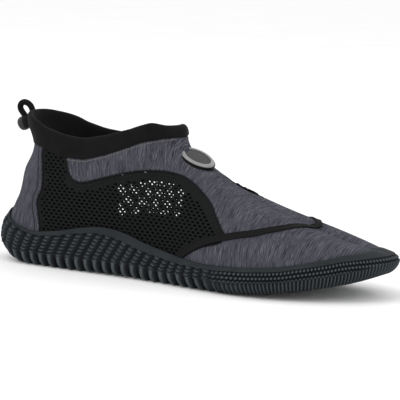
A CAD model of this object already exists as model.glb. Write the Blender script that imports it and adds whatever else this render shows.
import bpy
import numpy as np
from mathutils import Matrix, Vector


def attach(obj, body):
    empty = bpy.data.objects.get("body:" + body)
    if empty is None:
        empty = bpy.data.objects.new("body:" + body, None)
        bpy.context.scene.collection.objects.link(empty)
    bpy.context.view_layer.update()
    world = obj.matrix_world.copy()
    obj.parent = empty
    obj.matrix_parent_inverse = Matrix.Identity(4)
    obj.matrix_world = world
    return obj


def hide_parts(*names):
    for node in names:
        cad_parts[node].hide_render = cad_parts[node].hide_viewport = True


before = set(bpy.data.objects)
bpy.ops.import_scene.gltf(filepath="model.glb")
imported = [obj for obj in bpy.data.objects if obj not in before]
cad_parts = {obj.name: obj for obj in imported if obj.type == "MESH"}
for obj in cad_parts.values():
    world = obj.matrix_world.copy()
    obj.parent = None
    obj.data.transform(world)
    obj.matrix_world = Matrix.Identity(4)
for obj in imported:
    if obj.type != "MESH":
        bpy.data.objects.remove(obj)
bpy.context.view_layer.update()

# From the shoe's own zero, at the heel and on the floor, to the frame
SHIFT = np.array([-142.75, 1.383, 0.0])

# Driving sizes of the whole shoe
LENGTH = 285.5
BALL_WIDTH = 98.0
INSTEP_HEIGHT = 84.0
COLLAR_HEIGHT = 102.0
SIDE_HEIGHT = 31.0
TOE_SPRING = 19.0

# Walls and clearances
GAP = 0.3
UPPER_WALL = 2.4
SOLE_THICKNESS = 8.0
RIM_WALL = 1.5
SIDE_WALL = 4.6
MESH_WALL = 1.0
MESH_RECESS = 0.5
MARGIN = SIDE_WALL + GAP

# The form over the foot
HEEL_ROUND = 30.0
TOE_ROUND = 50.0
OUTLINE_POWER = 2.3
RIDGE_HEEL_INSET = 38.0
RIDGE_TOE_INSET = 30.0
CAP_HEIGHT = COLLAR_HEIGHT + 16
HEEL_LEAN_REACH = 75.0
FOOT_LENGTH = LENGTH - 2 * MARGIN

# Tread ribs
RIBS_PER_SIDE = 52
RIB_DEPTH = 1.7

# Overlays
CUFF_THICKNESS = 5.0
FRONT_ROWS = (12, 20)
RIDGE_CLEARANCE = 5.0
TAPE_WIDTH = 4.6
TAPE_THICKNESS = 0.8
BADGE_LENGTH = 26.2
BADGE_WIDTH = 20.4
BADGE_THICKNESS = 2.6
BADGE_OVERHANG = 1.1
BADGE_LIFT = 0.4
BADGE_PITCH, BADGE_ROLL, BADGE_SIDE = 24.0, 11.0, -0.14
CORD_DIAMETER = 3.7
STOPPER_DIAMETER = 9.6
STOPPER_LENGTH = 12.5
STOPPER_BASE = (0.064, 0.928)
STOPPER_PITCH = 25.0

# Plan of the foot: place along the inside, half width and centre as shares of the ball width
PLAN = np.array([
    (0.0, 0.275, 0.0), (0.11, 0.287, -0.003), (0.2, 0.297, -0.008), (0.3, 0.297, -0.016),
    (0.4, 0.301, -0.026), (0.5, 0.328, -0.033), (0.58, 0.376, -0.036), (0.66, 0.42, -0.03),
    (0.72, 0.439, -0.019), (0.78, 0.435, -0.005), (0.84, 0.408, 0.016), (0.89, 0.37, 0.035),
    (0.94, 0.325, 0.056), (1.0, 0.275, 0.082),
])

# Height of the tread over the floor: place, outer side and inner side, as shares of the toe spring
TREAD = np.array([
    (0.0, 0.7, 0.7), (0.04, 0.27, 0.27), (0.09, 0.03, 0.03), (0.135, 0.0, 0.0), (0.25, 0.0, 0.0),
    (0.33, 0.05, 0.12), (0.4, 0.05, 0.18), (0.47, 0.0, 0.1), (0.54, 0.0, 0.0), (0.66, 0.0, 0.0),
    (0.72, 0.06, 0.06), (0.77, 0.14, 0.14), (0.81, 0.22, 0.22), (0.865, 0.37, 0.37),
    (0.92, 0.55, 0.55), (0.96, 0.74, 0.74), (1.0, 1.0, 1.0),
])

# Top edge of the sole's side: place, outer side and inner side, as shares of the side height
RIM = np.array([
    (0.0, 1.19, 1.19), (0.012, 1.16, 1.16), (0.025, 1.05, 1.05), (0.045, 0.9, 0.9),
    (0.07, 0.82, 0.83), (0.112, 0.74, 0.78), (0.165, 0.8, 0.86), (0.197, 0.87, 0.94),
    (0.238, 0.96, 1.05), (0.28, 1.01, 1.12), (0.312, 0.99, 1.12), (0.344, 0.945, 1.09),
    (0.405, 0.805, 0.95), (0.47, 0.69, 0.8), (0.553, 0.6, 0.68), (0.626, 0.565, 0.61),
    (0.71, 0.597, 0.61), (0.795, 0.67, 0.68), (0.847, 0.765, 0.77), (0.889, 0.85, 0.85),
    (0.921, 0.925, 0.925), (0.962, 0.98, 0.98), (1.0, 1.03, 1.03),
])

# Ridge over instep and toes: place, height and sideways shift
RIDGE = np.array([
    (0.104, 2.86, 0.0), (0.407, 2.86, 0.0), (0.428, 2.2, 0.0), (0.446, 1.6, 0.0),
    (0.459, 1.33, 0.0), (0.469, 1.16, 0.0), (0.48, 1.04, 0.0), (0.494, 0.976, 0.0),
    (0.512, 0.926, 0.002), (0.53, 0.888, 0.004), (0.55, 0.852, 0.007), (0.565, 0.82, 0.01),
    (0.582, 0.778, 0.013), (0.618, 0.716, 0.02), (0.674, 0.634, 0.034), (0.744, 0.544, 0.05),
    (0.813, 0.464, 0.066), (0.878, 0.39, 0.08), (0.899, 0.37, 0.084),
])

# How full a section is: place and power
FULLNESS = np.array([
    (0.0, 0.5), (0.4, 0.55), (0.5, 0.8), (0.7, 0.85), (1.0, 0.85),
])

# Forward lean of the heel's back: height and lean
HEEL_LEAN = np.array([
    (0.2, 0.0), (0.3, 0.008), (0.38, 0.02), (0.44, 0.03), (0.61, 0.0435), (0.74, 0.064),
    (0.8, 0.067), (0.91, 0.052), (1.02, 0.04),
])

# Collar: place, top edge and seam as shares of the collar height
COLLAR = np.array([
    (0.0, 0.99, 0.785), (0.06, 0.99, 0.783), (0.091, 0.97, 0.783), (0.128, 0.94, 0.78),
    (0.154, 0.91, 0.77), (0.177, 0.893, 0.75), (0.212, 0.873, 0.728), (0.258, 0.864, 0.724),
    (0.309, 0.881, 0.755), (0.381, 0.928, 0.824), (0.422, 0.966, 0.87), (0.443, 0.975, 0.885),
    (0.463, 0.972, 0.895), (0.513, 0.978, 0.895),
])

# Outline of the mesh window from the side: place and height
WINDOW = np.array([
    (0.156, 0.83), (0.156, 0.6), (0.154, 0.5), (0.142, 0.42), (0.15, 0.3), (0.159, 0.17),
    (0.289, 0.17), (0.411, 0.12), (0.515, 0.12), (0.536, 0.165),
    (0.556, 0.203), (0.585, 0.253), (0.612, 0.286), (0.65, 0.318), (0.655, 0.35), (0.643, 0.39),
    (0.629, 0.43), (0.604, 0.51), (0.562, 0.598), (0.519, 0.66), (0.475, 0.686), (0.432, 0.686),
    (0.377, 0.657), (0.308, 0.6), (0.265, 0.57), (0.24, 0.582), (0.226, 0.63), (0.219, 0.72),
    (0.219, 0.83),
])

# Front edge of the inner window
WINDOW_INNER_FRONT = np.array([
    (0.65, 0.318), (0.658, 0.36), (0.662, 0.45), (0.65, 0.56), (0.622, 0.68), (0.57, 0.78),
    (0.545, 0.765), (0.52, 0.73), (0.498, 0.7),
])

# Path of the tape from the ridge down: share of the path, place round the foot, height on the skin
TAPE_PATH = np.array([
    (0.0, 0.87, 1.0), (0.14, 0.859, 0.93), (0.3, 0.823, 0.816), (0.52, 0.764, 0.615),
    (0.66, 0.729, 0.522), (0.78, 0.696, 0.445), (0.88, 0.669, 0.401), (1.0, 0.641, 0.352),
    (1.09, 0.611, 0.3), (1.17, 0.583, 0.244), (1.26, 0.557, 0.181), (1.34, 0.535, 0.127),
    (1.4, 0.519, 0.087), (1.44, 0.51, 0.06),
])

# Pull loop: place and height of the points of its cord
LOOP = np.array([
    (0.0585, 0.94), (0.0579, 0.965), (0.0557, 0.986), (0.0509, 1.008), (0.0422, 1.024),
    (0.0322, 1.028), (0.0235, 1.012), (0.0226, 0.986), (0.0298, 0.957), (0.0386, 0.932),
])

# Section of the padded collar: rise and depth
CUFF_SECTION = np.array([
    (0.0, 0.02), (0.1, 0.2), (0.45, 0.3), (0.8, 0.26), (0.95, 0.08), (1.0, -0.25), (0.95, -0.58),
    (0.8, -0.7), (0.45, -0.66), (0.1, -0.6), (0.0, -0.5),
])

# Section of the tape: across and up
TAPE_SECTION = np.array([
    (-1, 0.0), (-1, 0.7), (-0.93, 1.0), (-0.84, 1.0), (-0.76, 0.8), (-0.4, 0.85), (0, 0.88),
    (0.4, 0.85), (0.76, 0.8), (0.84, 1.0), (0.93, 1.0), (1, 0.7), (1, 0.0),
])

# Profile of the badge: share of its radius and of its thickness
BADGE_PROFILE = np.array([
    (0.01, 0.6), (0.3, 0.6), (0.6, 0.56), (0.7, 0.54), (0.72, 0.6), (0.75, 0.72), (0.8, 0.78),
    (0.86, 0.74), (0.92, 0.55), (0.945, 0.36), (0.95, 0.32), (0.975, 0.34), (0.99, 0.26), (1.0, 0.1),
    (1.0, -0.8), (0.98, -1.7), (0.01, -1.7),
])

# Section of the footbed: share of the way in from the edge, and rise
FOOTBED_SECTION = (
    (1.0, 0.35), (0.5, 0.35), (0.06, 0.35), (0.0, 0.8), (0.0, 3.4), (0.02, 4.0), (0.06, 4.2),
    (0.2, 4.0), (0.4, 3.9), (0.6, 3.9), (0.8, 3.9), (1.0, 3.9),
)

# How the front of the collar leans: place, rise on the outer side; place, drop on the inner side
COLLAR_RAISED = ((78, 105, 118, 128, 133), (0, 1.5, 1.6, 2.6, 3.4))
COLLAR_LOWERED = ((78, 108, 128, 134), (0, 3.2, 3.6, 5.0))

# Dark linings behind the mesh: name, start and end along the shoe
LININGS = (("heel", 40.0, 70.0), ("toe", 150.0, 196.0))
LINING_GAP = 0.5

# Rows of stitches beside the windows' edges, positive inside the window
STITCH_ROWS = (1.4, 3.6, -1.3)

# Lights: name, place in metres, size and power
LIGHTS = (
    ("key", (-0.5, -1.1, 1.6), 1.2, 9),
    ("fill", (1.3, -0.9, 0.9), 1.6, 5),
    ("back", (0.2, 1.3, 1.2), 1.2, 2),
)
LIGHTS_AIM = (0, 0, 0.04)
FLOOR_SIZE = 6.0

# Camera of the photograph: degrees, metres, and pixels of the picture's width
AZIMUTH, ELEVATION, ROLL = 29.3, 8.0, 1.9
CAMERA_DISTANCE = 1.45
CAMERA_PIVOT = (0.00075, 0.001383, 0.045)
PICTURE = 400
FOCAL_PIXELS = 2225.0
SHIFT_PIXELS = (6.4, 8.7)
SENSOR_WIDTH = 36.0

# Profile of the stopper: share of its length and of its radius
STOPPER_PROFILE = np.array([
    (0.0, 0.96), (0.55, 0.98), (0.58, 0.9), (0.61, 0.98), (0.86, 1.0), (0.96, 0.88), (1.0, 0.7),
])


def curve(table, value, span, scale):
    """Smooth curve through one column of a table, without overshoot."""
    xs = table[:, 0] * span
    ys = table[:, value] * scale
    steps = np.diff(xs)
    rises = np.diff(ys) / steps
    slopes = np.zeros(len(xs))
    slopes[0], slopes[-1] = rises[0], rises[-1]
    for i in range(1, len(xs) - 1):
        before, after = rises[i - 1], rises[i]
        if before * after > 0:
            heavy = 2 * steps[i] + steps[i - 1]
            light = steps[i] + 2 * steps[i - 1]
            slopes[i] = (heavy + light) / (heavy / before + light / after)

    def at(x):
        x = np.clip(x, xs[0], xs[-1])
        i = np.clip(np.searchsorted(xs, x, side="right") - 1, 0, len(xs) - 2)
        t = (x - xs[i]) / steps[i]
        line = ys[i] + (ys[i + 1] - ys[i]) * t * t * (3 - 2 * t)
        return line + steps[i] * (1 - t) * t * (slopes[i] * (1 - t) - slopes[i + 1] * t)

    return at


plan_half = curve(PLAN, 1, FOOT_LENGTH, BALL_WIDTH)
plan_centre = curve(PLAN, 2, FOOT_LENGTH, BALL_WIDTH)
tread_outer = curve(TREAD, 1, LENGTH, TOE_SPRING)
tread_inner = curve(TREAD, 2, LENGTH, TOE_SPRING)
rim_outer = curve(RIM, 1, LENGTH, SIDE_HEIGHT)
rim_inner = curve(RIM, 2, LENGTH, SIDE_HEIGHT)
ridge_height = curve(RIDGE, 1, LENGTH, INSTEP_HEIGHT)
ridge_side = curve(RIDGE, 2, LENGTH, BALL_WIDTH)
fullness = curve(FULLNESS, 1, LENGTH, 1)
heel_lean = curve(HEEL_LEAN, 1, COLLAR_HEIGHT, LENGTH)
collar_top = curve(COLLAR, 1, LENGTH, COLLAR_HEIGHT)
collar_seam = curve(COLLAR, 2, LENGTH, COLLAR_HEIGHT)


def mix(a, b, t):
    return a + (b - a) * t


def smooth(t):
    t = np.clip(t, 0, 1)
    return t * t * (3 - 2 * t)


def unit(vectors):
    return vectors / np.maximum(np.linalg.norm(vectors, axis=-1, keepdims=True), 1e-9)


def walk(line):
    """Length along a line up to each of its points."""
    return np.concatenate([[0], np.cumsum(np.linalg.norm(np.diff(line, axis=0), axis=1))])


def measured_side(side):
    """One side of the plan as points with their share of the arc length."""
    x = FOOT_LENGTH * (1 - np.cos(np.linspace(0, np.pi, 601))) / 2
    from_heel = np.clip((HEEL_ROUND - x) / HEEL_ROUND, 0, 1)
    from_toe = np.clip((x - FOOT_LENGTH + TOE_ROUND) / TOE_ROUND, 0, 1)
    half = plan_half(x)
    for t in (from_heel, from_toe):
        half = half * (1 - t ** OUTLINE_POWER) ** (1 / OUTLINE_POWER)
    points = np.stack([x + MARGIN, plan_centre(x) + side * half], 1)
    lengths = np.concatenate([[0], np.cumsum(np.hypot(*np.diff(points, axis=0).T))])
    return points, lengths / lengths[-1], lengths[-1]


SIDES = {-1: measured_side(-1), 1: measured_side(1)}


def folded(place):
    place = np.where(place > 1, place - 2, place)
    return np.where(place < -1, place + 2, place)


def outline(place):
    """Points of the foot's plan. A place is 0 at the heel and 1 at the toe, negative outside."""
    at = folded(np.asarray(place, float))
    made = np.zeros(at.shape + (2,))
    for side in (-1, 1):
        points, shares, _ = SIDES[side]
        here = (at < 0) if side < 0 else (at >= 0)
        for axis in (0, 1):
            made[..., axis] = np.where(here, np.interp(np.abs(at), shares, points[:, axis]), made[..., axis])
    return made


def outward(place):
    along = unit(outline(place + 0.004) - outline(place - 0.004))
    return np.stack([-along[..., 1], along[..., 0]], -1)


def tread_at(x, y):
    inside = np.clip(x - MARGIN, 0, FOOT_LENGTH)
    across = (y - plan_centre(inside)) / plan_half(inside)
    return mix(tread_outer(x), tread_inner(x), smooth((across + 1) / 2))


def ridge(place):
    x = mix(RIDGE_HEEL_INSET, LENGTH - RIDGE_TOE_INSET, np.abs(folded(place)))
    return x, ridge_side(x), ridge_height(x)


def footing(place):
    foot = outline(place)
    return tread_at(foot[..., 0], foot[..., 1]) + SOLE_THICKNESS + GAP


def wall(place, z):
    """The skin of the upper at a place round the foot and a height."""
    place, z = np.broadcast_arrays(np.asarray(place, float), np.asarray(z, float))
    foot = outline(place)
    top_x, top_y, top_z = ridge(place)
    base = footing(place)
    climb = np.clip((z - base) / (top_z - base), 0, 1)
    closing = 1 - np.sqrt(1 - climb * climb) ** fullness(mix(foot[..., 0], top_x, climb))
    x = mix(foot[..., 0], top_x, closing)
    reach = 1 - smooth((x - MARGIN) / HEEL_LEAN_REACH)
    return np.stack([x + heel_lean(z) * reach, mix(foot[..., 1], top_y, closing), z], -1)


def skin(place, share):
    """The same skin by share of its height: 0 at the sole, 1 on the ridge, past 1 down the far side."""
    place, share = np.broadcast_arrays(np.asarray(place, float), np.asarray(share, float))
    over = share > 1
    place = np.where(over, -folded(place), place)
    share = np.clip(np.where(over, 2 - share, share), 0, 1)
    top = np.minimum(ridge(place)[2], CAP_HEIGHT)
    return wall(place, mix(footing(place), top, np.sin(share * np.pi / 2)))


def skin_normal(place, share, step=0.004):
    along = skin(place + step, share) - skin(place - step, share)
    up = skin(place, share + step) - skin(place, np.maximum(share - step, 0))
    return unit(np.cross(up, along))


rib_spacing = curve(np.array([(0, 0), (0.3, 0.355), (0.58, 0.69), (0.68, 0.77), (1, 1)]), 1, 1, 1)
rib_lean = curve(
    np.array([(0, 0), (0.12, 0.35), (0.3, 0.6), (0.45, 0.65), (0.6, 0.15), (0.75, 0), (1, 0)]), 1, 1, 1
)
edge_radius = curve(
    np.array([(0, 1.4), (0.2, 1.0), (0.42, 0.8), (0.62, 1.3), (0.78, 1.2), (1, 0.8)]), 1, 1, SOLE_THICKNESS
)


def span(p, count):
    """Points of a smooth line from the second to the third of four corners."""
    d = [max(np.linalg.norm(p[k + 1] - p[k]), 1e-6) ** 0.5 for k in range(3)]
    start = ((p[1] - p[0]) / d[0] - (p[2] - p[0]) / (d[0] + d[1]) + (p[2] - p[1]) / d[1]) * d[1]
    end = ((p[2] - p[1]) / d[1] - (p[3] - p[1]) / (d[1] + d[2]) + (p[3] - p[2]) / d[2]) * d[1]
    made = []
    for t in np.arange(count) / count:
        made.append(
            (2 * t**3 - 3 * t**2 + 1) * p[1] + (t**3 - 2 * t**2 + t) * start
            + (3 * t**2 - 2 * t**3) * p[2] + (t**3 - t**2) * end
        )
    return made


def closed_curve(corners, per_corner=12):
    """Closed smooth line through corners, even where they stand close together."""
    corners = np.asarray(corners, float)
    made = []
    for i in range(len(corners)):
        made += span([corners[(i + k - 1) % len(corners)] for k in range(4)], per_corner)
    return np.array(made)


def open_curve(corners, per_corner):
    """Smooth open line through corners."""
    corners = np.asarray(corners, float)
    ends = np.vstack([2 * corners[0] - corners[1], corners, 2 * corners[-1] - corners[-2]])
    made = []
    for i in range(len(corners) - 1):
        made += span(ends[i : i + 4], per_corner)
    return np.array(made + [corners[-1]])


def signed_distance(points, line):
    """Distance to a closed line in the plane, negative inside it."""
    start = line
    end = np.roll(line, -1, axis=0)
    best = np.full(len(points), 1e9)
    inside = np.zeros(len(points), bool)
    for a, b in zip(start, end):
        along = b - a
        t = np.clip(((points - a) @ along) / max(along @ along, 1e-12), 0, 1)
        best = np.minimum(best, np.hypot(*(points - a - t[:, None] * along).T))
        spans = (a[1] > points[:, 1]) != (b[1] > points[:, 1])
        if abs(along[1]) > 1e-12:
            inside ^= spans & (points[:, 0] < a[0] + along[0] * (points[:, 1] - a[1]) / along[1])
    return np.where(inside, -best, best)


def window_corners(side):
    first, last = FRONT_ROWS
    rows = WINDOW if side < 0 else np.vstack([WINDOW[:first], WINDOW_INNER_FRONT, WINDOW[last:]])
    return rows * [LENGTH, COLLAR_HEIGHT]


WINDOW_LINES = {side: closed_curve(window_corners(side)) for side in (-1, 1)}
WINDOW_START = ridge_side(LENGTH * WINDOW_INNER_FRONT[0, 0]) + RIDGE_CLEARANCE


# How softly a window's outline turns along the ridge
ROUNDING = 12.0


def window_field(points, side):
    """Distance to the edge of a mesh window, negative inside it."""
    flat = signed_distance(points[:, [0, 2]], WINDOW_LINES[side])
    beyond = points[:, 1] + RIDGE_CLEARANCE if side < 0 else WINDOW_START - points[:, 1]
    near = np.maximum(ROUNDING - np.abs(flat - beyond), 0)
    return np.maximum(flat, beyond) + near**2 / (4 * ROUNDING)


def quads_to_tris(quads):
    quads = np.asarray(quads)
    return np.concatenate([quads[:, [0, 1, 2]], quads[:, [0, 2, 3]]])


def clip_all(data, tris, columns):
    for column in columns:
        data, tris = clip(data, tris, column)
    return data, tris


def clip(data, tris, column):
    """The part of a triangle mesh where one column of its rows is negative."""
    field = data[:, column]
    inside = field[tris] <= 0
    count = inside.sum(1)
    kept = [tris[count == 3]]
    crossed = (count == 1) | (count == 2)
    mixed, within = tris[crossed], inside[crossed]
    alone = np.where(within.sum(1) == 1, within.argmax(1), (~within).argmax(1))
    turned = mixed[np.arange(len(mixed))[:, None], (alone[:, None] + np.arange(3)) % 3]
    first = within[np.arange(len(mixed)), alone]
    a, b, c = turned.T
    edges = np.sort(np.concatenate([np.stack([a, b], 1), np.stack([a, c], 1)]), 1)
    unique, back = np.unique(edges, axis=0, return_inverse=True)
    back = back.reshape(-1)
    near, far = field[unique[:, 0]], field[unique[:, 1]]
    t = (near / (near - far))[:, None]
    added = data[unique[:, 0]] * (1 - t) + data[unique[:, 1]] * t
    ab = len(data) + back[: len(a)]
    ac = len(data) + back[len(a) :]
    kept.append(np.stack([a, ab, ac], 1)[first])
    kept.append(np.stack([ab, b, c], 1)[~first])
    kept.append(np.stack([ab, c, ac], 1)[~first])
    data = np.vstack([data, added])
    used, tris = np.unique(np.concatenate(kept), return_inverse=True)
    return data[used], tris.reshape(-1, 3)


def add_piece(name, points, faces, materials, nodes=(), attributes=None, thick=None):
    """A smooth mesh piece. attributes holds numbers by point, thick is (wall, side) for a shell."""
    mesh = bpy.data.meshes.new(name)
    faces = [np.asarray(block) for block in (faces if isinstance(faces, list) else [faces])]
    corners = np.concatenate([block.reshape(-1) for block in faces])
    totals = np.concatenate([np.full(len(block), block.shape[1]) for block in faces])
    mesh.vertices.add(len(points))
    mesh.vertices.foreach_set("co", ((np.asarray(points) + SHIFT) / 1000).astype(np.float32).ravel())
    mesh.loops.add(len(corners))
    mesh.loops.foreach_set("vertex_index", corners.astype(np.int32))
    mesh.polygons.add(len(totals))
    starts = np.concatenate([[0], np.cumsum(totals)[:-1]]).astype(np.int32)
    mesh.polygons.foreach_set("loop_start", starts)
    mesh.update(calc_edges=True)
    mesh.validate()
    mesh.polygons.foreach_set("use_smooth", [True] * len(mesh.polygons))
    for key, values in (attributes or {}).items():
        values = np.asarray(values, np.float32)
        vector = values.ndim == 2
        layer = mesh.attributes.new(key, "FLOAT_VECTOR" if vector else "FLOAT", "POINT")
        layer.data.foreach_set("vector" if vector else "value", values.ravel())
    for material in materials:
        mesh.materials.append(material)
    piece = bpy.data.objects.new(name, mesh)
    bpy.context.scene.collection.objects.link(piece)
    if thick:
        wall_made = piece.modifiers.new("wall", "SOLIDIFY")
        wall_made.thickness = thick[0] / 1000
        wall_made.offset = thick[1]
        wall_made.use_rim = True
        if len(materials) > 1:
            wall_made.material_offset = 1
    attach(piece, "root")
    if nodes:
        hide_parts(*nodes)
    return piece


def ring_faces(rows, columns, closed_rows=False):
    """Quads between rings of points that close on themselves."""
    last = rows if closed_rows else rows - 1
    r, c = np.meshgrid(np.arange(last), np.arange(columns), indexing="ij")
    r, c = r.ravel(), c.ravel()
    up = (r + 1) % rows
    right = (c + 1) % columns
    return np.stack([r * columns + c, r * columns + right, up * columns + right, up * columns + c], 1)


def around_places(side_places):
    """Places once round the shoe: heel, outer side, toe, inner side."""
    return np.concatenate([-side_places, side_places[1:-1][::-1]])


def skin_grid(side_places, shares, depth=0.0):
    """Points of the skin with their flat coordinates: way round the foot and height along the skin."""
    around = around_places(side_places)
    place, share = np.meshgrid(around, shares)
    points = skin(place, share) + skin_normal(place, share) * depth
    steps = np.linalg.norm(np.diff(points, axis=0), axis=-1)
    climb = np.concatenate([np.zeros((1, len(around))), np.cumsum(steps, axis=0)])
    walked = np.abs(place) * SIDES[-1][2]
    across = mix(walked, points[..., 0] + 16, smooth((np.abs(place) - 0.1) / 0.12))
    flat = np.stack([across, climb, np.zeros_like(climb)], -1)
    count = len(around)
    faces = ring_faces(len(shares), count)
    if shares[-1] >= 1:
        top = (len(shares) - 1) * count
        mirror = (-np.arange(count)) % count
        shared = np.where(np.arange(count) < len(side_places), np.arange(count), mirror)
        remap = np.arange(len(shares) * count)
        remap[top:] = top + shared
        faces = remap[faces]
    return points.reshape(-1, 3), flat.reshape(-1, 3), faces


class Nodes:
    """A material's node tree, with short ways to add to it."""

    def __init__(self, name):
        self.material = bpy.data.materials.new(name)
        self.material.use_nodes = True
        self.tree = self.material.node_tree
        self.tree.nodes.clear()
        self.output = self.tree.nodes.new("ShaderNodeOutputMaterial")
        self.shader = self.tree.nodes.new("ShaderNodeBsdfPrincipled")
        self.link(self.shader.outputs[0], self.output.inputs[0])

    def link(self, source, target):
        self.tree.links.new(source, target)

    def put(self, socket, value):
        if hasattr(value, "links") or isinstance(value, bpy.types.NodeSocket):
            self.link(value, socket)
        elif value is not None:
            socket.default_value = value

    def add(self, kind, **settings):
        node = self.tree.nodes.new("ShaderNode" + kind)
        for key, value in settings.items():
            setattr(node, key, value)
        return node

    def attribute(self, name, output="Fac"):
        return self.add("Attribute", attribute_name=name).outputs[output]

    def place(self):
        return self.add("NewGeometry").outputs["Position"]

    def place_mm(self):
        return self.vector("MULTIPLY", self.place(), (1000.0, 1000.0, 1000.0))

    def split(self, vector):
        node = self.add("SeparateXYZ")
        self.link(vector, node.inputs[0])
        return node.outputs

    def math(self, operation, a, b=None):
        node = self.add("Math", operation=operation)
        for socket, value in zip(node.inputs, (a, b)):
            self.put(socket, value)
        return node.outputs[0]

    def vector(self, operation, a, b):
        node = self.add("VectorMath", operation=operation)
        self.put(node.inputs[0], a)
        self.put(node.inputs[1], b)
        return node.outputs[0]

    def noise(self, vector, scale=1.0, detail=2.0, rough=0.5):
        node = self.add("TexNoise")
        self.put(node.inputs["Vector"], vector)
        node.inputs["Scale"].default_value = scale
        node.inputs["Detail"].default_value = detail
        node.inputs["Roughness"].default_value = rough
        return node.outputs["Fac"]

    def ramp(self, factor, stops):
        node = self.add("ValToRGB")
        self.put(node.inputs[0], factor)
        while len(node.color_ramp.elements) < len(stops):
            node.color_ramp.elements.new(1.0)
        for element, (at, colour) in zip(node.color_ramp.elements, stops):
            element.position = at
            element.color = (*colour, 1.0) if hasattr(colour, "__len__") else (colour,) * 3 + (1.0,)
        return node.outputs[0]

    def range(self, value, low, high, to_low=0.0, to_high=1.0):
        node = self.add("MapRange")
        self.put(node.inputs[0], value)
        for socket, number in zip(node.inputs[1:5], (low, high, to_low, to_high)):
            socket.default_value = number
        return node.outputs[0]

    def mottle(self, factor, dark, light):
        return self.ramp(factor, [(0.3, dark), (0.7, light)])

    def blend(self, factor, a, b):
        node = self.add("Mix", data_type="RGBA")
        self.put(node.inputs[0], factor)
        self.put(node.inputs[6], a)
        self.put(node.inputs[7], b)
        return node.outputs[2]

    def bump(self, height, distance, strength):
        node = self.add("Bump")
        node.inputs["Strength"].default_value = strength
        node.inputs["Distance"].default_value = distance
        self.put(node.inputs["Height"], height)
        return node.outputs[0]

    def finish(self, color, roughness, normal=None, specular=0.5, sheen=0.0, tint=None):
        inputs = self.shader.inputs
        self.put(inputs["Base Color"], color)
        self.put(inputs["Roughness"], roughness)
        inputs["Specular IOR Level"].default_value = specular
        inputs["Sheen Weight"].default_value = sheen
        if tint:
            inputs["Sheen Tint"].default_value = (*tint, 1.0)
        if normal is not None:
            self.link(normal, inputs["Normal"])
        return self.material


def grey(level, tint=(1.0, 1.0, 1.0)):
    """Linear colour of a screen value from 0 to 255."""
    made = []
    for part in tint:
        share = level * part / 255
        made.append(share / 12.92 if share <= 0.04045 else ((share + 0.055) / 1.055) ** 2.4)
    return tuple(made)


def rgb(red, green, blue):
    return grey(1.0, (red, green, blue))


def scaled(nodes, vector, factors):
    return nodes.vector("MULTIPLY", vector, factors)


def knit_material():
    """Melange knit: streaks round the foot over fine stitches. Its flat coordinates are in millimetres."""
    n = Nodes("knit_melange")
    flat = n.attribute("flat", "Vector")
    wobble = n.noise(scaled(n, flat, (0.07, 0.035, 1.0)), 1.0, 2.0)
    shift = n.add("CombineXYZ")
    n.put(shift.inputs[0], n.math("MULTIPLY", wobble, 7.0))
    moved = n.vector("ADD", flat, shift.outputs[0])
    streaks = n.noise(scaled(n, moved, (2.3, 0.075, 1.0)), 1.0, 3.0, 0.65)
    broad = n.noise(scaled(n, moved, (0.3, 0.03, 1.0)), 1.0, 2.0)
    fine = n.noise(scaled(n, moved, (4.4, 0.24, 1.0)), 1.0, 2.0)
    mixed = n.math("ADD", n.math("MULTIPLY", streaks, 0.58), n.math("MULTIPLY", fine, 0.32))
    mixed = n.math("ADD", mixed, n.math("MULTIPLY", broad, 0.1))
    colour = n.ramp(mixed, [
        (0.39, rgb(30, 30, 36)), (0.46, rgb(58, 58, 66)), (0.53, rgb(76, 76, 85)),
        (0.63, rgb(108, 107, 115)),
    ])
    bound = n.range(n.attribute("edge"), 0.7, 1.5, 1.0, 0.0)
    colour = n.blend(bound, colour, (*rgb(22, 22, 25), 1.0))
    split = n.split(moved)
    hem = n.range(n.math("ABSOLUTE", n.math("SUBTRACT", n.attribute("edge"), 4.4)), 0.3, 0.7, 0.75, 0.0)
    strip = n.range(split[0], 70.0, 74.0, 1.0, 0.0)
    colour = n.blend(n.math("MULTIPLY", hem, strip), colour, (*rgb(28, 28, 32), 1.0))
    wales = n.math("SINE", n.math("MULTIPLY", split[0], 2 * np.pi / 0.9))
    courses = n.math("SINE", n.math("MULTIPLY", split[1], 2 * np.pi / 0.7))
    stitches = n.math("ADD", wales, n.math("MULTIPLY", courses, 0.6))
    relief = n.math("ADD", n.math("MULTIPLY", stitches, 0.15), n.math("MULTIPLY", streaks, 1.8))
    normal = n.bump(relief, 0.0005, 0.8)
    return n.finish(colour, 0.95, normal, specular=0.08, sheen=0.06, tint=rgb(150, 150, 165))


def lining_material():
    """Smooth dark lining cloth."""
    n = Nodes("lining_cloth")
    place = n.place_mm()
    speck = n.noise(place, 1.6, 3.0)
    colour = n.mottle(speck, grey(10), grey(18))
    return n.finish(colour, 0.95, n.bump(speck, 0.0003, 0.6), specular=0.05)


def mesh_material():
    """Black warp-knit mesh: its yarn runs round the holes."""
    n = Nodes("mesh_black")
    flat = n.attribute("flat", "Vector")
    speck = n.noise(scaled(n, flat, (2.2, 3.4, 1.0)), 1.0, 3.0)
    colour = n.mottle(speck, rgb(15, 17, 16), rgb(32, 34, 33))
    return n.finish(colour, 0.85, n.bump(speck, 0.0004, 0.8), specular=0.06)


def neoprene_material():
    """Smooth stretch cloth over foam."""
    n = Nodes("collar_cloth")
    place = n.place_mm()
    fine = n.noise(place, 2.4, 3.0)
    broad = n.noise(place, 0.12, 2.0)
    mixed = n.math("ADD", n.math("MULTIPLY", fine, 0.5), n.math("MULTIPLY", broad, 0.5))
    colour = n.mottle(mixed, grey(11), grey(21))
    return n.finish(colour, 0.88, n.bump(fine, 0.00025, 0.7), specular=0.08, sheen=0.02)


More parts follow.
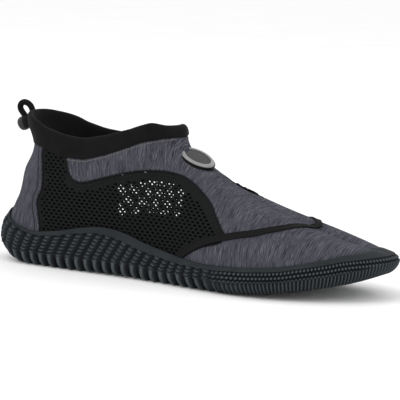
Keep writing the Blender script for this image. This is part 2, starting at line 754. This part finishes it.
def rubber_material():
    """Moulded rubber, dark grey with a green cast and dust in its grooves."""
    n = Nodes("sole_rubber")
    place = n.place_mm()
    fine = n.noise(place, 3.0, 4.0)
    broad = n.noise(place, 0.09, 3.0)
    raised = n.attribute("raised")
    base = n.mottle(broad, rgb(34, 38, 41), rgb(42, 46, 49))
    worn = n.blend(n.range(raised, 0.65, 1.0, 0.0, 0.7), base, (*rgb(78, 84, 87), 1.0))
    colour = n.blend(n.range(raised, 0.0, 0.5, 0.8, 0.0), worn, (*rgb(11, 13, 14), 1.0))
    rough = n.range(fine, 0.3, 0.7, 0.55, 0.75)
    return n.finish(colour, rough, n.bump(fine, 0.0002, 0.5), specular=0.08)


def tape_material():
    n = Nodes("tape_weave")
    flat = n.attribute("flat", "Vector")
    split = n.split(flat)
    ribs = n.math("SINE", n.math("MULTIPLY", split[0], 2 * np.pi / 0.8))
    speck = n.noise(flat, 2.0, 2.0)
    colour = n.mottle(speck, grey(14), grey(26))
    return n.finish(colour, 0.85, n.bump(ribs, 0.00015, 0.5), specular=0.1)


def plain_material(name, dark, light, roughness, specular):
    """Moulded plastic with a faint mottle."""
    n = Nodes(name)
    place = n.place_mm()
    speck = n.noise(place, 1.5, 3.0)
    colour = n.mottle(speck, dark, light)
    return n.finish(colour, roughness, n.bump(speck, 0.0001, 0.3), specular=specular)


def cord_material():
    """Braided cover: two sets of yarns that cross."""
    n = Nodes("cord_braid")
    flat = n.attribute("flat", "Vector")
    split = n.split(flat)
    one = n.math("SINE", n.math("MULTIPLY", n.math("ADD", split[0], split[1]), 5.2))
    two = n.math("SINE", n.math("MULTIPLY", n.math("SUBTRACT", split[0], split[1]), 5.2))
    braid = n.math("MAXIMUM", one, two)
    colour = n.ramp(braid, [(0.2, grey(7)), (0.95, grey(22))])
    return n.finish(colour, 0.8, n.bump(braid, 0.0003, 0.8), specular=0.1)


KNIT = knit_material()
LINING = lining_material()
NET = mesh_material()
NEOPRENE = neoprene_material()
RUBBER = rubber_material()
TAPE = tape_material()
CORD = cord_material()
THREAD = plain_material("thread", grey(88), grey(116), 0.7, 0.1)
DARK_THREAD = plain_material("thread_dark", grey(24), grey(38), 0.7, 0.1)
RING = plain_material("badge_ring", grey(118), grey(138), 0.3, 0.4)
FACE = plain_material("badge_face", grey(30), grey(40), 0.4, 0.25)
RIM_BLACK = plain_material("badge_rim", grey(9), grey(14), 0.5, 0.12)
PLASTIC = plain_material("stopper_plastic", grey(6), grey(12), 0.45, 0.08)
STOPPER_END = plain_material("stopper_end", grey(40), grey(50), 0.35, 0.2)


band_width = curve(
    np.array([
        (0, 0.3), (0.1, 0.9), (0.2, 3.2), (0.35, 4.2), (0.5, 3.2), (0.62, 2.2), (0.8, 2.2), (0.9, 2.6),
        (1, 2.8),
    ]),
    1, 1, 1,
)


def sole_relief(count, below, place):
    """Texture of the sole, 0 in a groove and 1 on a crest, by rib count and depth below the band."""
    near = np.abs(count % 1 - 0.5)
    ribs = smooth((near - 0.12) / 0.2)
    scale = (below / 2.3 + 0.25 * (count % 1) + 0.5 * (np.round(count) % 2)) % 1
    step = np.where(scale < 0.75, scale / 0.75, (1 - scale) / 0.25)
    scaled_ribs = ribs * (0.25 + 0.75 * smooth(step))
    fine = 2 * count
    fine_ribs = smooth((np.abs(fine % 1 - 0.5) - 0.08) / 0.22) * (0.75 + 0.25 * np.sin(below * 2.6))
    nubs = 0 * below
    for row, depth in enumerate((1.6, 4.2, 6.8)):
        across = ((fine + 0.5 * (row % 2)) % 1 - 0.5) * 2.7
        nubs = np.maximum(nubs, 1 - smooth((np.hypot(across, below - depth) - 0.55) / 0.8))
    low = smooth((below - 7.6) / 1.0)
    forefoot = mix(nubs, fine_ribs, low)
    toe = smooth((np.abs(place) - 0.58) / 0.08)
    return mix(scaled_ribs, forefoot, toe)


def make_sole():
    """Outsole: rim, ribbed side, rounded edge, tread and the cup's inside."""
    per_rib = 10
    along = np.linspace(0, 1, RIBS_PER_SIDE * per_rib + 1)
    side_places = rib_spacing(along)
    around = around_places(side_places)
    index = np.concatenate([along, along[1:-1][::-1]]) * RIBS_PER_SIDE
    foot = outline(around)
    out2 = outward(around)
    floor = footing(around) - GAP
    rim = np.where(around < 0, rim_outer(foot[:, 0]), rim_inner(foot[:, 0]))
    lean_here = rib_lean(np.abs(around))
    radius = edge_radius(np.abs(around))
    total = SIDES[-1][2]
    top_x = ridge(around)[0]
    middle = np.stack([top_x, plan_centre(np.clip(top_x - MARGIN, 0, FOOT_LENGTH))], 1)
    depth_of_ribs = RIB_DEPTH * 1.1
    band = band_width(np.abs(around))
    toe = smooth((np.abs(around) - 0.58) / 0.08)
    tooth = (index + 0.5) % 1
    teeth = smooth((tooth - 0.12) / 0.5) * (1 - smooth((tooth - 0.78) / 0.2))
    fine = np.clip(0.5 + 0.5 * np.cos(4 * np.pi * index), 0, 1) ** 0.7
    crest = mix(teeth, fine, toe)
    rings, raised = [], []

    def add(at, z, high):
        rings.append(np.column_stack([at, z + 0 * at[:, 0]]))
        raised.append(high + 0 * at[:, 0])

    def side(up, depth, textured=True):
        z = mix(floor, rim, up)
        leaned = np.clip(around + np.sign(around) * lean_here * (z - floor) / total, -1, 1)
        below = rim - z
        amount = smooth((below - band) / 0.9) * textured
        relief = mix(sole_relief(index, below - band, around), crest, smooth((0.1 - up) / 0.1))
        cut = (1 - relief) * amount
        point = wall(leaned, z)
        out = outward(leaned) * (depth + GAP - cut * depth_of_ribs)[:, None]
        add(point[:, :2] + out, z, mix(0.6, relief, amount))

    inside = foot - out2 * 0.6
    add(middle, tread_at(middle[:, 0], middle[:, 1]) + SOLE_THICKNESS, 0.7)
    add(inside, floor, 0.7)
    for up in (0.25, 0.5, 0.75, 0.93):
        side(up, 0.0, False)
    for up, depth in ((0.98, 0.25), (1.0, 0.6), (1.0, 1.0), (0.985, 1.35)):
        side(up, depth, False)
    for up in np.linspace(0.965, 0.0, 56):
        depth = mix(RIM_WALL, SIDE_WALL, np.interp(up, [0, 0.7, 0.85, 1.0], [1.0, 0.8, 0.35, 0.0]))
        side(up, depth)
    notch = mix(1.8, 0.9, toe)
    for angle in np.linspace(12, 90, 8):
        turn = np.radians(angle)
        cut = (1 - crest) * depth_of_ribs * notch
        at = foot + out2 * (MARGIN - radius * (1 - np.cos(turn)) - cut * np.cos(turn))[:, None]
        add(at, tread_at(at[:, 0], at[:, 1]) + radius * (1 - np.sin(turn)) + cut * np.sin(turn), crest)
    edge = foot + out2 * (MARGIN - radius)[:, None]
    for inwards in (0.06, 0.12, 0.18, 0.24, 0.3, 0.33, 0.36, 0.44, 0.52, 0.6, 0.7, 0.8, 0.9, 1.0):
        share = np.interp(inwards, [0, 0.3, 0.36], [1, 1, 0])
        at = mix(edge, middle, inwards)
        lift = (1 - crest) * share * depth_of_ribs * notch
        add(at, tread_at(at[:, 0], at[:, 1]) + lift, 1 - (1 - crest) * share)
    faces = ring_faces(len(rings), len(around))[:, ::-1]
    return add_piece(
        "sole", np.concatenate(rings), faces, [RUBBER], ["outsole"],
        {"raised": np.concatenate(raised)},
    )


# Soft creases of the knit: middle along the shoe and up, side, angle, length, width and depth
FOLDS = [
    (126, 74, -1, 24, 26, 3.0, 0.55),
    (134, 66, -1, 38, 24, 3.4, -0.45),
    (146, 62, -1, 52, 22, 3.2, 0.6),
    (158, 54, -1, 40, 20, 3.2, 0.4),
    (112, 73, -1, 8, 20, 3.0, 0.35),
    (205, 35, -1, 30, 22, 4.0, 0.35),
    (234, 34, -1, 35, 20, 4.0, 0.35),
    (22, 48, -1, 84, 30, 3.4, 0.5),
    (27, 66, -1, 75, 18, 3.0, 0.4),
    (24, 50, 1, 82, 28, 3.4, 0.45),
    (130, 70, 1, 30, 26, 3.4, 0.5),
    (150, 60, 1, 46, 24, 3.4, 0.5),
    (212, 35, 1, 32, 24, 4.0, 0.4),
]


def fold_depth(points):
    """How far the creases draw the cloth in."""
    depth = np.zeros(len(points))
    for x, z, side, angle, length, width, deep in FOLDS:
        turn = np.radians(angle)
        dx, dz = points[:, 0] - x, points[:, 2] - z
        along = dx * np.cos(turn) + dz * np.sin(turn)
        across = -dx * np.sin(turn) + dz * np.cos(turn) + 0.012 * along**2
        here = np.where(np.sign(points[:, 1]) == side, 1.0, 0.0) * smooth(np.abs(points[:, 1]) / 6)
        depth += here * deep * np.exp(-((along / (length / 2)) ** 2) - (across / width) ** 2)
    return depth


def make_upper():
    """Knit shell, open under the collar, with its two windows."""
    side_places, shares = np.linspace(0, 1, 250), np.linspace(0, 1, 66)
    points, flat, quads = skin_grid(side_places, shares)
    outer, inner = window_field(points, -1), window_field(points, 1)
    edge = np.minimum(outer, inner)
    over = points[:, 2] - collar_seam(points[:, 0]) - 0.5
    at = skin_grid(side_places, shares, 1.0)[0] - points
    soft = 0.55 * (1 - smooth(edge / 1.4)) * (edge > -3)
    points = points - at * (fold_depth(points) + soft)[:, None]
    data = np.column_stack([points, flat, over, -outer, -inner, edge])
    data, tris = clip_all(data, quads_to_tris(quads), (6, 7, 8))
    return add_piece(
        "upper_knit", data[:, :3], tris, [KNIT, LINING], ["upper"],
        {"flat": data[:, 3:6], "edge": data[:, 9]}, thick=(UPPER_WALL, -1),
    )


def chart(side):
    """The skin of one side by place along the shoe and length up the section from z 30."""
    xs = np.arange(32.0, 212.0, 0.75)
    top = np.minimum(ridge_height(xs) - 0.05, 92.0)
    t = np.sin(np.linspace(0, 1, 90) * np.pi / 2)
    x = np.broadcast_to(xs[:, None], (len(xs), len(t)))
    z = mix(12.0, top[:, None], t[None, :])
    low, high = np.zeros(z.shape), np.ones(z.shape)
    for _ in range(22):
        middle = (low + high) / 2
        behind = wall(side * middle, z)[..., 0] < x
        low = np.where(behind, middle, low)
        high = np.where(behind, high, middle)
    points = wall(side * low, z)
    points[..., 0] = x
    steps = np.linalg.norm(np.diff(points, axis=1), axis=-1)
    length = np.concatenate([np.zeros((len(xs), 1)), np.cumsum(steps, axis=1)], 1)
    heights = np.arange(-20.0, 80.0, 0.5)
    made = np.zeros((len(xs), len(heights), 3))
    for i in range(len(xs)):
        zero = np.interp(30.0, z[i], length[i])
        for axis in range(3):
            made[i, :, axis] = np.interp(heights, length[i] - zero, points[i, :, axis])
    return xs, heights, made


def on_chart(sheet, x, s):
    xs, heights, made = sheet
    i = np.clip((x - xs[0]) / (xs[1] - xs[0]), 0, len(xs) - 1.001)
    j = np.clip((s - heights[0]) / (heights[1] - heights[0]), 0, len(heights) - 1.001)
    a, b = i.astype(int), j.astype(int)
    u, v = (i - a)[..., None], (j - b)[..., None]
    near = made[a, b] * (1 - v) + made[a, b + 1] * v
    far = made[a + 1, b] * (1 - v) + made[a + 1, b + 1] * v
    return near * (1 - u) + far * u


def chart_normal(sheet, x, s, side):
    along = on_chart(sheet, x + 1, s) - on_chart(sheet, x - 1, s)
    up = on_chart(sheet, x, s) - on_chart(sheet, x, s - 2)
    return unit(np.cross(along, up) * (-side))


# Net of each side: pitch along the shoe and up it, and half sizes of its holes
LOOSENESS = {-1: (0.08, 0.05), 1: (0.42, 0.22)}
NETS = {-1: (4.0, 2.2, 1.3, 0.8), 1: (3.1, 1.75, 0.95, 0.56)}


def make_mesh_panel(side):
    """Net with real holes, plain along its backed border."""
    sheet = chart(side)
    pitch, row, half_length, half_height = NETS[side]
    columns = np.arange(int(172 / pitch))
    rows = np.arange(int(90 / row))
    c, r = np.meshgrid(columns, rows, indexing="ij")
    cx = (36 + (c + 0.5 * (r % 2)) * pitch).ravel()
    cy = (-16 + r * row).ravel()
    centres = on_chart(sheet, cx, cy)
    field = window_field(centres, side)
    near = field < 4
    cx, cy, field = cx[near], cy[near], field[near]
    edge = np.where((centres[near][:, 2] > 40) & (cx > 62) | (cx > 135), 4.8 if side < 0 else 6.0, 1.6)
    open_cell = field < -edge
    angles = np.radians([-90, -45, 0, 45, 90, 135, 180, 225])
    ring = np.stack([np.cos(angles), np.sin(angles)], 1)
    box = np.array([(0, -1), (1, -1), (1, 0), (1, 1), (0, 1), (-1, 1), (-1, 0), (-1, -1)])
    box = box * [pitch / 2, row / 2]
    size = len(cx)
    outer = np.stack([cx, cy], 1)[:, None] + box[None]
    shift = np.random.default_rng(7).uniform(-1, 1, (size, 1, 2)) * LOOSENESS[side]
    inner = np.stack([cx, cy], 1)[:, None] + (ring * [half_length, half_height])[None] + shift
    middle = np.stack([cx, cy], 1)[:, None]
    flat = np.concatenate([outer, inner, middle], 1).reshape(-1, 2)
    base = np.arange(size)[:, None] * 17
    k = np.arange(8)
    nxt = (k + 1) % 8
    quads = np.stack([base + k, base + nxt, base + 8 + nxt, base + 8 + k], -1).reshape(-1, 4)
    fans = np.stack([base + 8 + k, base + 8 + nxt, base + 16 + 0 * k], -1)[~open_cell].reshape(-1, 3)
    keys = np.round(flat * 100).astype(int)
    _, first, back = np.unique(keys, axis=0, return_index=True, return_inverse=True)
    back = back.reshape(-1)
    flat = flat[first]
    tris = np.concatenate([quads_to_tris(quads), fans])
    tris = back[tris]
    points = on_chart(sheet, flat[:, 0], flat[:, 1])
    points = points - chart_normal(sheet, flat[:, 0], flat[:, 1], side) * MESH_RECESS
    field = window_field(points, side)
    over = points[:, 2] - collar_seam(points[:, 0]) + 0.3
    data = np.column_stack([points, flat, 0 * field, field + 0.2, over])
    data, tris = clip_all(data, tris, (6, 7))
    if side > 0:
        tris = tris[:, ::-1]
    name = "outer" if side < 0 else "inner"
    return add_piece(
        "mesh_" + name, data[:, :3], tris, [NET], ["mesh_panel_" + name],
        {"flat": data[:, 3:6]}, thick=(MESH_WALL, -1),
    )


def make_lining(side):
    """Dark lining behind the ends of a mesh panel."""
    sheet = chart(side)
    rows, columns = 46, 110
    for word, start, end in LININGS:
        x, s = np.meshgrid(np.linspace(start, end, rows), np.linspace(-16, 66, columns), indexing="ij")
        x, s = x.ravel(), s.ravel()
        behind = MESH_RECESS + MESH_WALL + LINING_GAP
        points = on_chart(sheet, x, s) - chart_normal(sheet, x, s, side) * behind
        quads = ring_faces(rows, columns)
        quads = quads[quads[:, 1] % columns != 0]
        flat = np.column_stack([x, s, 0 * x])
        over = points[:, 2] - collar_seam(points[:, 0]) + 1
        data = np.column_stack([points, flat, window_field(points, side) - 1.5, over])
        data, tris = clip_all(data, quads_to_tris(quads), (6, 7))
        name = "%s_lining_%s" % (word, "outer" if side < 0 else "inner")
        add_piece(name, data[:, :3], tris, [LINING], thick=(0.5, 0))


def closing_place(z):
    low, high = np.zeros(z.shape), np.ones(z.shape)
    for _ in range(30):
        middle = (low + high) / 2
        over = ridge(middle)[2] > z
        low = np.where(over, middle, low)
        high = np.where(over, high, middle)
    return low


def collar_line(share, rise):
    """Points of the skin round the collar: share from back 0 to front 1, rise from seam to top edge."""
    share, rise = np.broadcast_arrays(np.asarray(share, float), np.asarray(rise, float))
    z = np.full(share.shape, COLLAR_HEIGHT)
    for _ in range(12):
        x = wall(share * closing_place(z), z)[..., 0]
        raised = np.interp(x, *COLLAR_RAISED) * (1 - smooth((-share - 0.95) / 0.05))
        lowered = np.interp(x, *COLLAR_LOWERED) * (1 - smooth((share - 0.98) / 0.02))
        tilt = np.where(share > 0, lowered, -raised)
        z = mix(collar_seam(x), collar_top(x) - tilt, rise)
    return wall(share * closing_place(z), z)


cuff_spacing = curve(np.array([(0, 0), (0.5, 0.58), (0.75, 0.9), (0.9, 0.988), (1, 1)]), 1, 1, 1)


def collar_out(share):
    step = 0.01
    after = np.where(share + step > 1, -(2 - share - step), share + step)
    before = np.where(share - step < -1, 2 + share - step, share - step)
    along = collar_line(after, 0.5) - collar_line(before, 0.5)
    along[..., 2] = 0
    along = unit(along)
    return np.stack([-along[..., 1], along[..., 0], 0 * along[..., 0]], -1)


def make_cuff():
    """Padded roll of stretch cloth round the opening."""
    section = closed_curve(CUFF_SECTION, 5)
    shares = cuff_spacing(np.linspace(0, 1, 131))
    around = around_places(shares)
    share, rise = np.meshgrid(around, section[:, 0])
    points = collar_line(share, rise)
    points += collar_out(share) * (section[:, 1] * CUFF_THICKNESS)[:, None, None]
    faces = ring_faces(len(section), len(around), closed_rows=True)
    piece = add_piece("collar_roll", points.reshape(-1, 3), faces, [NEOPRENE], ["collar_cuff"])
    return piece


tape_place = curve(TAPE_PATH, 1, 1, 1)
tape_share = curve(TAPE_PATH, 2, 1, 1)


def tape_point(t):
    """A point of the skin with its normal, on the tape's middle line, from -1 outside to 1 inside."""
    place = np.where(t < 0, -1, 1) * tape_place(np.abs(t))
    share = tape_share(np.abs(t))
    return skin(place, share), skin_normal(place, share)


def make_tape():
    """Woven tape over the toes, with raised edges, laid on the skin."""
    t = np.linspace(-TAPE_PATH[-1, 0], TAPE_PATH[-1, 0], 520)
    centre, out = tape_point(t)
    for _ in range(6):
        centre[1:-1] = (centre[:-2] + 2 * centre[1:-1] + centre[2:]) / 4
        out[1:-1] = (out[:-2] + 2 * out[1:-1] + out[2:]) / 4
    across = unit(np.cross(unit(np.gradient(centre, axis=0)), out))
    walked = walk(centre)
    section = TAPE_SECTION
    half = TAPE_WIDTH / 2
    points = (
        centre[:, None]
        + across[:, None] * (section[:, 0] * half)[None, :, None]
        + out[:, None] * (section[:, 1] * TAPE_THICKNESS + 0.25)[None, :, None]
    )
    walked = np.broadcast_to(walked[:, None], points.shape[:2])
    flat = np.stack([walked, np.broadcast_to(section[:, 0] * half, walked.shape), 0 * walked], -1)
    faces = ring_faces(len(t), len(section))
    return add_piece(
        "toe_tape_woven", points.reshape(-1, 3), faces, [TAPE], ["toe_tape"],
        {"flat": flat.reshape(-1, 3)},
    )


def turned(points, angle, axis):
    """Points turned about one axis, in degrees."""
    turn = np.radians(angle)
    a, b = [k for k in range(3) if k != axis]
    if axis == 1:
        a, b = b, a
    made = points.copy()
    made[..., a] = np.cos(turn) * points[..., a] - np.sin(turn) * points[..., b]
    made[..., b] = np.sin(turn) * points[..., a] + np.cos(turn) * points[..., b]
    return made


def lathe(profile, sides):
    """Rings of (radius, height) about Z."""
    angles = np.linspace(0, 2 * np.pi, sides, endpoint=False)
    profile = np.asarray(profile, float)
    points = np.stack([
        profile[:, 0:1] * np.cos(angles), profile[:, 0:1] * np.sin(angles), profile[:, 1:2] + 0 * angles,
    ], -1)
    return points, ring_faces(len(profile), sides)


def make_badge():
    """Blank oval badge: black rim, grey ring and a dark face."""
    z = np.array([COLLAR_HEIGHT])
    for _ in range(12):
        z = collar_seam(ridge(closing_place(z))[0])
    front = ridge(closing_place(z))[0][0]
    x = front - BADGE_OVERHANG + BADGE_LENGTH / 2 * np.cos(np.radians(BADGE_PITCH))
    half, sides = BADGE_LENGTH / 2, 96
    points, faces = lathe(BADGE_PROFILE * [half, BADGE_THICKNESS], sides)
    points[..., 1] *= BADGE_WIDTH / BADGE_LENGTH
    points = turned(turned(points, BADGE_ROLL, 0), BADGE_PITCH, 1)
    points += [x, ridge_side(x) + BADGE_SIDE * BADGE_WIDTH, ridge_height(x) + GAP + BADGE_LIFT]
    piece = add_piece(
        "badge_oval", points.reshape(-1, 3), faces, [FACE, RING, RIM_BLACK], ["instep_badge"],
    )
    rows = np.repeat(np.arange(len(BADGE_PROFILE) - 1), sides)
    shade = np.where(rows < 4, 0, np.where(rows < 10, 1, 2))
    piece.data.polygons.foreach_set("material_index", shade.astype(np.int32))
    return piece


def tube(points, radius, sides):
    """Rings round an open line of points."""
    along = unit(np.gradient(points, axis=0))
    across = unit(np.cross(along, [0.0, 1.0, 0.0]))
    third = np.cross(along, across)
    angles = np.linspace(0, 2 * np.pi, sides, endpoint=False)
    made = (
        points[:, None]
        + (across[:, None] * np.cos(angles)[None, :, None] + third[:, None] * np.sin(angles)[None, :, None])
        * np.asarray(radius).reshape(-1, 1, 1)
    )
    walked = np.broadcast_to(walk(points)[:, None], made.shape[:2])
    flat = np.stack([walked, np.broadcast_to(angles * np.mean(radius), walked.shape), 0 * walked], -1)
    return made.reshape(-1, 3), ring_faces(len(points), sides), flat.reshape(-1, 3)


def make_loop():
    corners = np.column_stack([LOOP[:, 0] * LENGTH, 0 * LOOP[:, 0], LOOP[:, 1] * COLLAR_HEIGHT])
    line = open_curve(corners, 10)
    points, faces, flat = tube(line, np.full(len(line), CORD_DIAMETER / 2 + 0.2), 20)
    return add_piece("pull_loop_cord", points, faces[:, ::-1], [CORD], ["pull_loop"], {"flat": flat})


def make_stopper():
    rows = open_curve(STOPPER_PROFILE[:, [1, 0]] * [STOPPER_DIAMETER / 2, STOPPER_LENGTH], 5)
    button = [rows[-1, 0] * 0.6, STOPPER_LENGTH + 0.15]
    rows = np.vstack([[0.01, 0], rows, button, [0.01, STOPPER_LENGTH + 0.2]])
    points, faces = lathe(rows, 40)
    turned_x = np.stack([-points[..., 2], points[..., 1], points[..., 0]], -1)
    points = turned(turned_x, -STOPPER_PITCH, 1)
    points += [STOPPER_BASE[0] * LENGTH, 0, STOPPER_BASE[1] * COLLAR_HEIGHT]
    piece = add_piece(
        "stopper_round", points.reshape(-1, 3), faces, [PLASTIC, STOPPER_END], ["cord_stopper"],
    )
    ring = np.repeat(np.arange(len(rows) - 1), 40)
    end = rows[:-1, 1][ring] > 0.6 * STOPPER_LENGTH
    piece.data.polygons.foreach_set("material_index", end.astype(np.int32))
    return piece


def make_insole():
    """Soft footbed with a raised edge."""
    around = around_places(np.linspace(0, 1, 160))
    foot = outline(around)
    out2 = outward(around)
    middle = np.stack(ridge(around)[:2], 1)
    rings = []
    edge_in = foot - out2 * (UPPER_WALL + GAP)
    for share, rise in FOOTBED_SECTION:
        at = mix(edge_in, middle, share)
        rings.append(np.column_stack([at, tread_at(at[:, 0], at[:, 1]) + SOLE_THICKNESS + GAP + rise]))
    faces = ring_faces(len(rings), len(around))
    piece = add_piece("footbed", np.concatenate(rings), faces, [LINING], ["insole"])
    return piece


def on_side(sheet, side, x, z):
    """Points of the skin above a place along the shoe, at a height."""
    xs, heights, made = sheet
    i = np.clip(np.round((x - xs[0]) / (xs[1] - xs[0])).astype(int), 0, len(xs) - 1)
    s = np.array([np.interp(height, made[k, :, 2], heights) for k, height in zip(i, z)])
    return on_chart(sheet, x, s), chart_normal(sheet, x, s, side)


def add_stitches(name, line, normals, length, gap, width, material, lift):
    """Short raised threads along a line on the cloth."""
    walked = walk(line)
    starts = np.arange(0.3, walked[-1] - length, length + gap)
    section = np.array([(-1, -0.4), (-0.7, 0.5), (0, 0.85), (0.7, 0.5), (1, -0.4)])
    rows = np.array([0.0, 0.12, 0.5, 0.88, 1.0])
    swell = np.array([0.25, 0.85, 1.0, 0.85, 0.25])
    points, faces = [], []
    grid = ring_faces(len(rows), len(section))
    for start in starts:
        at = start + rows * length
        centre = np.stack([np.interp(at, walked, line[:, k]) for k in range(3)], 1)
        out = np.stack([np.interp(at, walked, normals[:, k]) for k in range(3)], 1)
        across = unit(np.cross(np.gradient(centre, axis=0), out))
        made = (
            centre[:, None]
            + across[:, None] * (section[:, 0] * width / 2)[None, :, None] * swell[:, None, None]
            + out[:, None] * (section[None, :, 1] * width / 2 * swell[:, None] + lift)[..., None]
        )
        faces.append(grid + len(points) * len(rows) * len(section))
        points.append(made.reshape(-1, 3))
    return add_piece(name, np.concatenate(points), np.concatenate(faces), [material])


def make_stitching():
    """Cover stitch under the collar, and the double rows along the windows' edges."""
    for side, word in ((-1, "outer"), (1, "inner")):
        sheet = chart(side)
        x = np.linspace(63, 134, 200)
        line, out = on_side(sheet, side, x, collar_seam(x) - 1.3)
        add_stitches("cover_stitch_" + word, line, out, 1.6, 0.35, 0.75, THREAD, 0.1)
        corners = WINDOW_LINES[side]
        along = unit(np.roll(corners, -1, axis=0) - np.roll(corners, 1, axis=0))
        inwards = np.stack([along[:, 1], -along[:, 0]], 1)
        if signed_distance(corners[:1] + inwards[:1], corners)[0] > 0:
            inwards = -inwards
        for shift in STITCH_ROWS:
            path = corners + inwards * shift
            inside = signed_distance(path, corners)
            good = (np.abs(np.abs(inside) - abs(shift)) < 0.25) & (path[:, 1] < collar_seam(path[:, 0]) - 2)
            if side > 0:
                good &= path[:, 0] < 130
            good &= path[:, 1] < ridge_height(np.clip(path[:, 0], 132, 240)) - 12
            good &= (path[:, 0] > 40) & (path[:, 1] > rim_outer(path[:, 0]) + 1) & (path[:, 0] < 184)
            runs = np.split(np.arange(len(path)), np.where(~good)[0])
            for number, run in enumerate(runs):
                run = run[good[run]]
                if len(run) < 6:
                    continue
                lift = -0.3 if shift > 0 else 0.05
                line, out = on_side(sheet, side, path[run, 0], path[run, 1])
                name = "stitch_%s_%d_%d" % (word, int(10 * abs(shift)) + (shift < 0), number)
                add_stitches(name, line, out, 2.2, 0.6, 0.5, DARK_THREAD, lift)


make_sole()
make_upper()
make_mesh_panel(-1)
make_lining(-1)
make_lining(1)
make_mesh_panel(1)
make_cuff()
make_tape()
make_badge()
make_loop()
make_stopper()
make_insole()
make_stitching()


def make_stage():
    """Pale floor, soft lights and the camera of the photograph."""
    n = Nodes("floor_paint")
    n.finish(n.mottle(n.noise(n.place(), 8.0, 2.0), grey(250), grey(252)), 0.9, specular=0.1)
    mesh = bpy.data.meshes.new("floor")
    size = FLOOR_SIZE
    corners = [(-size, -size, 0), (size, -size, 0), (size, size, 0), (-size, size, 0)]
    mesh.from_pydata(corners, [], [(0, 1, 2, 3)])
    mesh.materials.append(n.material)
    floor = bpy.data.objects.new("floor", mesh)
    bpy.context.scene.collection.objects.link(floor)
    world = bpy.data.worlds.new("studio")
    bpy.context.scene.world = world
    world.use_nodes = True
    background = next(node for node in world.node_tree.nodes if node.type == "BACKGROUND")
    background.inputs[0].default_value = (1.0, 1.0, 1.0, 1.0)
    background.inputs[1].default_value = 1.0
    for name, place, size, power in LIGHTS:
        light = bpy.data.lights.new(name, "AREA")
        light.size = size
        light.energy = power
        lamp = bpy.data.objects.new(name, light)
        lamp.location = place
        aim = Vector(LIGHTS_AIM) - Vector(place)
        lamp.rotation_euler = aim.to_track_quat("-Z", "Y").to_euler()
        bpy.context.scene.collection.objects.link(lamp)


def make_camera():
    """Camera that stands where the photograph's stood."""
    azimuth, elevation, roll = np.radians([AZIMUTH, ELEVATION, ROLL])
    level = np.cos(elevation)
    back = np.array([np.sin(azimuth) * level, -np.cos(azimuth) * level, np.sin(elevation)])
    right = np.array([np.cos(azimuth), np.sin(azimuth), 0.0])
    up = np.cross(back, right)
    x = right * np.cos(roll) + up * np.sin(roll)
    y = -right * np.sin(roll) + up * np.cos(roll)
    data = bpy.data.cameras.new("camera")
    data.sensor_width = SENSOR_WIDTH
    data.lens = FOCAL_PIXELS * SENSOR_WIDTH / PICTURE
    data.shift_x, data.shift_y = (pixels / PICTURE for pixels in SHIFT_PIXELS)
    camera = bpy.data.objects.new("camera", data)
    bpy.context.scene.collection.objects.link(camera)
    place = np.array(CAMERA_PIVOT) + back * CAMERA_DISTANCE
    camera.matrix_world = Matrix([*zip(x, y, back, place), (0, 0, 0, 1)])
    data.clip_end = 50
    bpy.context.scene.camera = camera


make_stage()
make_camera()
bpy.context.scene.view_settings.view_transform = "Standard"
